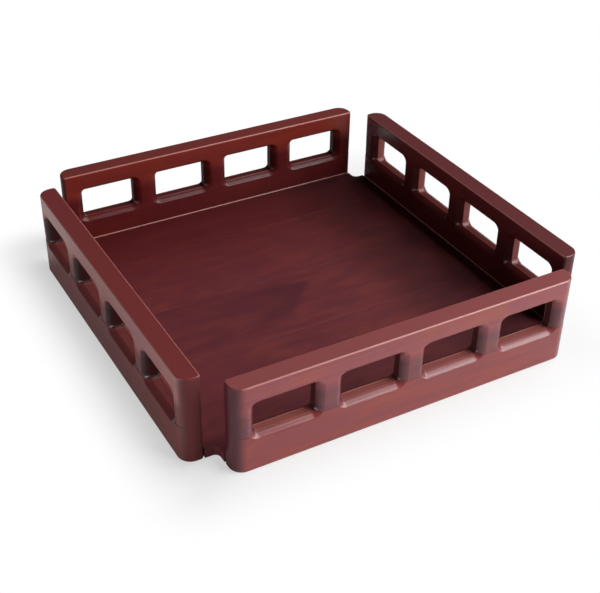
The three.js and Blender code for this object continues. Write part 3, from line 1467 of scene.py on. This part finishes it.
@dataclass(frozen=True)
class Studio:
    """A white ground and sky, with a wide softbox in front on the right and weaker ones low, left and high.

    Attributes:
        tray_half: Half the tray's side.
        ground_half: Half the ground's width, in metres.
        ground_gap: How far the ground lies under the tray, so that the two don't share a plane.
        ground_colour: The ground's colour.
        sky_colour: The dim light that comes from all round.
        white: The white that a studio's background is lit up to.
        eye_share: How much of that white the camera sees at the tray's foot, over the light and shade there.
        clear_start: How far from the tray's foot that share starts to grow, which is a little under the tray.
        clear_reach: How far from the foot the camera sees nothing but white.
        ground_gloss_share: How much of the white a gloss sees on the ground.
        sky_gloss_share: How much of it a gloss sees in the sky, where a studio is dim beside its lamps.
        softboxes: The lamps.
    """

    tray_half: float
    ground_half: float = 3.0
    ground_gap: float = 0.1 * MM
    ground_colour: str = "f0f0f0"
    sky_colour: str = "1c1c1c"
    white: str = "ffffff"
    eye_share: float = 0.52
    clear_start: float = -10 * MM
    clear_reach: float = 50 * MM
    ground_gloss_share: float = 0.1
    sky_gloss_share: float = 0.02
    softboxes: tuple[Softbox, ...] = (
        Softbox("key_softbox", turn=-36.0, height=35.0, width=2.2, length=0.9, power=47.0),
        Softbox("low_softbox", turn=-45.0, height=12.0, width=0.9, length=0.9, power=24.0),
        Softbox("left_softbox", turn=-158.0, height=4.5, width=1.2, length=0.32, power=15.0),
        Softbox("high_softbox", turn=-10.0, height=61.0, width=2.2, length=0.9, power=25.0),
    )

    def set_up(self) -> None:
        """Lays the ground and sets the sky, the lamps and the colour handling."""
        bpy.context.scene.view_settings.view_transform = "Standard"
        self._lay_ground()
        self._set_sky()
        for softbox in self.softboxes:
            softbox.set_up()

    def _lay_ground(self) -> None:
        """Lays the white ground that the tray stands on.

        It is matt paper, on which the eye sees soft shade at the tray's foot and no reflection. Further out,
        the camera sees it lit up to plain white.
        """
        bpy.ops.mesh.primitive_plane_add(size=2 * self.ground_half, location=(0, 0, -self.ground_gap))
        ground = bpy.context.object
        ground.name = "studio_ground"
        material = bpy.data.materials.new("matt_white_paper")
        tree = cleared_tree(material)
        foot = (self.tray_half, self.tray_half, 0.0)
        place = Pattern.of(tree, "ShaderNodeTexCoord", "Object")
        offset = place.carried("ABSOLUTE").carried("SUBTRACT", foot).carried("MAXIMUM", (0.0, 0.0, 0.0))
        away = offset.measured("LENGTH")
        eye_share = away.spread(self.clear_start, self.clear_reach) * (1 - self.eye_share) + self.eye_share
        paper = Pattern.of(tree, "ShaderNodeBsdfDiffuse", "BSDF", {"Color": linear(self.ground_colour)})
        white = Pattern.of(tree, "ShaderNodeEmission", "Emission", {"Color": linear(self.white)})
        seen = self._seen(paper, white, eye_share, self.ground_gloss_share)
        add_node(tree, "ShaderNodeOutputMaterial", {"Surface": seen})
        ground.data.materials.append(material)

    def _set_sky(self) -> None:
        """Makes a plain, dim sky that looks white."""
        world = bpy.data.worlds.new("dim_sky")
        tree = cleared_tree(world)
        sky, white = (
            Pattern.of(tree, "ShaderNodeBackground", "Background", {"Color": linear(colour)})
            for colour in (self.sky_colour, self.white)
        )
        seen = self._seen(sky, white, eye_share=1.0, gloss_share=self.sky_gloss_share)
        add_node(tree, "ShaderNodeOutputWorld", {"Surface": seen})
        bpy.context.scene.world = world

    @staticmethod
    def _seen(lit: Pattern, white: Pattern, eye_share: Pattern | float, gloss_share: float) -> Pattern:
        """Mixes the white that is seen with the light that falls on things.

        Args:
            lit: What gives or throws back the light.
            white: What is seen of it.
            eye_share: How much of the white the camera sees.
            gloss_share: How much of it a gloss or a clear body sees.

        Returns:
            The mixture, which is all lit for the light that falls on things.
        """
        eye, gloss, clear = (
            Pattern.of(lit.tree, "ShaderNodeLightPath", kind)
            for kind in ("Is Camera Ray", "Is Glossy Ray", "Is Transmission Ray")
        )
        share = eye * eye_share + gloss.worked("MAXIMUM", clear) * gloss_share
        return Pattern.of(lit.tree, "ShaderNodeMixShader", "Shader", {0: share, 1: lit, 2: white})


def wall_finishes() -> dict[Side, WallFinish]:
    """Mixes the stains of the four walls, each strip's as plain, thin and dark. Their colours differ wall by
    wall mostly to paint the light and shade that each wall gets: the front lightest, the right and the back
    darker, and the left's top rail paler with the light from the white ground.

    Returns:
        Each wall's finish.
    """
    front = partial(StainedHardwood, end_share=0.7, end_thirst=0.5)
    right = partial(StainedHardwood, end_share=0.15)
    back = partial(StainedHardwood, lacquer=0.45)
    left = partial(StainedHardwood, end_share=1.0, end_thirst=0.95)
    return {
        Side.FRONT: WallFinish(
            top_rail=front("853e44", "8e443c", "57272b"),
            post=front("67323d", "6f3737", "431f27"),
            bottom_rail=front("7e3336", "873830", "532022"),
            top_face_shading="904b4b",
            sill="9e5952",
            jamb="451f1e",
            end="542027",
        ),
        Side.RIGHT: WallFinish(
            top_rail=right("591e23", "5f221f", "391115"),
            post=right("4d1b1d", "531e19", "310f10"),
            bottom_rail=right("4b1312", "50160f", "2f0909"),
            top_face_shading="662f31",
            sill="592422",
            jamb="73352f",
            end="4d1b1d",
        ),
        Side.BACK: WallFinish(
            top_rail=back("70241d", "782819", "491510"),
            post=back("511014", "571211", "34070a"),
            bottom_rail=back("551418", "5b1714", "360a0d"),
            top_face_shading="753330",
            sill="612727",
            jamb="381214",
            end="4a1215",
        ),
        Side.LEFT: WallFinish(
            top_rail=left("aa6565", "b56e5b", "714343"),
            post=left("7c3538", "843b32", "512123"),
            bottom_rail=left("772b2d", "7f2f28", "4e1a1b"),
            top_face_shading="793232",
            sill="693031",
            jamb="2a0d0e",
            end="642f31",
            window_depth=0.8 * MM,
        ),
    }


def floor_woods() -> tuple[StainedHardwood, ...]:
    """Mixes the stains of the floor's boards, each as plain, thin and dark.

    Returns:
        The boards' woods from front to back.
    """
    clouds = replace(StainedHardwood.clouds, length=38 * MM, width=11 * MM)
    board = partial(StainedHardwood, clouds=clouds, end_share=0.3, lacquer=0.4, lacquer_roughness=0.38)
    return (
        board("6a3037", "793636", "471e22"),
        board("682f36", "773535", "451e22"),
        board("6b3138", "7b3737", "481f23"),
        board("682f36", "773535", "461e22"),
    )


def floor_shades() -> tuple[Zone, ...]:
    """Darkens the floor slowly towards the back, and paints the right wall's shadow on it as a darker strip
    along that wall.

    Returns:
        The two darker zones.
    """
    # The floor grows darker towards the back.
    to_back = Ramp(Y_WAY, -40 * MM, 200 * MM)
    # A painted shadow of the right wall: darker from some way out towards the wall, fading again at the
    # wall's foot.
    right_wall_shadow = Ramp(X_WAY, 42 * MM, 105 * MM)
    shadow_fading_at_wall = Ramp(X_WAY, 155 * MM, 115 * MM)
    return Zone("4b080c", (to_back,)), Zone("260707", (right_wall_shadow, shadow_fading_at_wall), share=0.5)


def main() -> None:
    """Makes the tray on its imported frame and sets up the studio."""
    logging.basicConfig(level=logging.INFO, format="%(message)s")
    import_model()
    sizes = WallSizes.packed()
    Walls(sizes, RouterBit(), wall_finishes()).build()
    Floor(sizes, floor_woods(), floor_shades()).build()
    PhotoCamera().set_up()
    Studio(-sizes.outer).set_up()


if __name__ == "__main__":
    main()
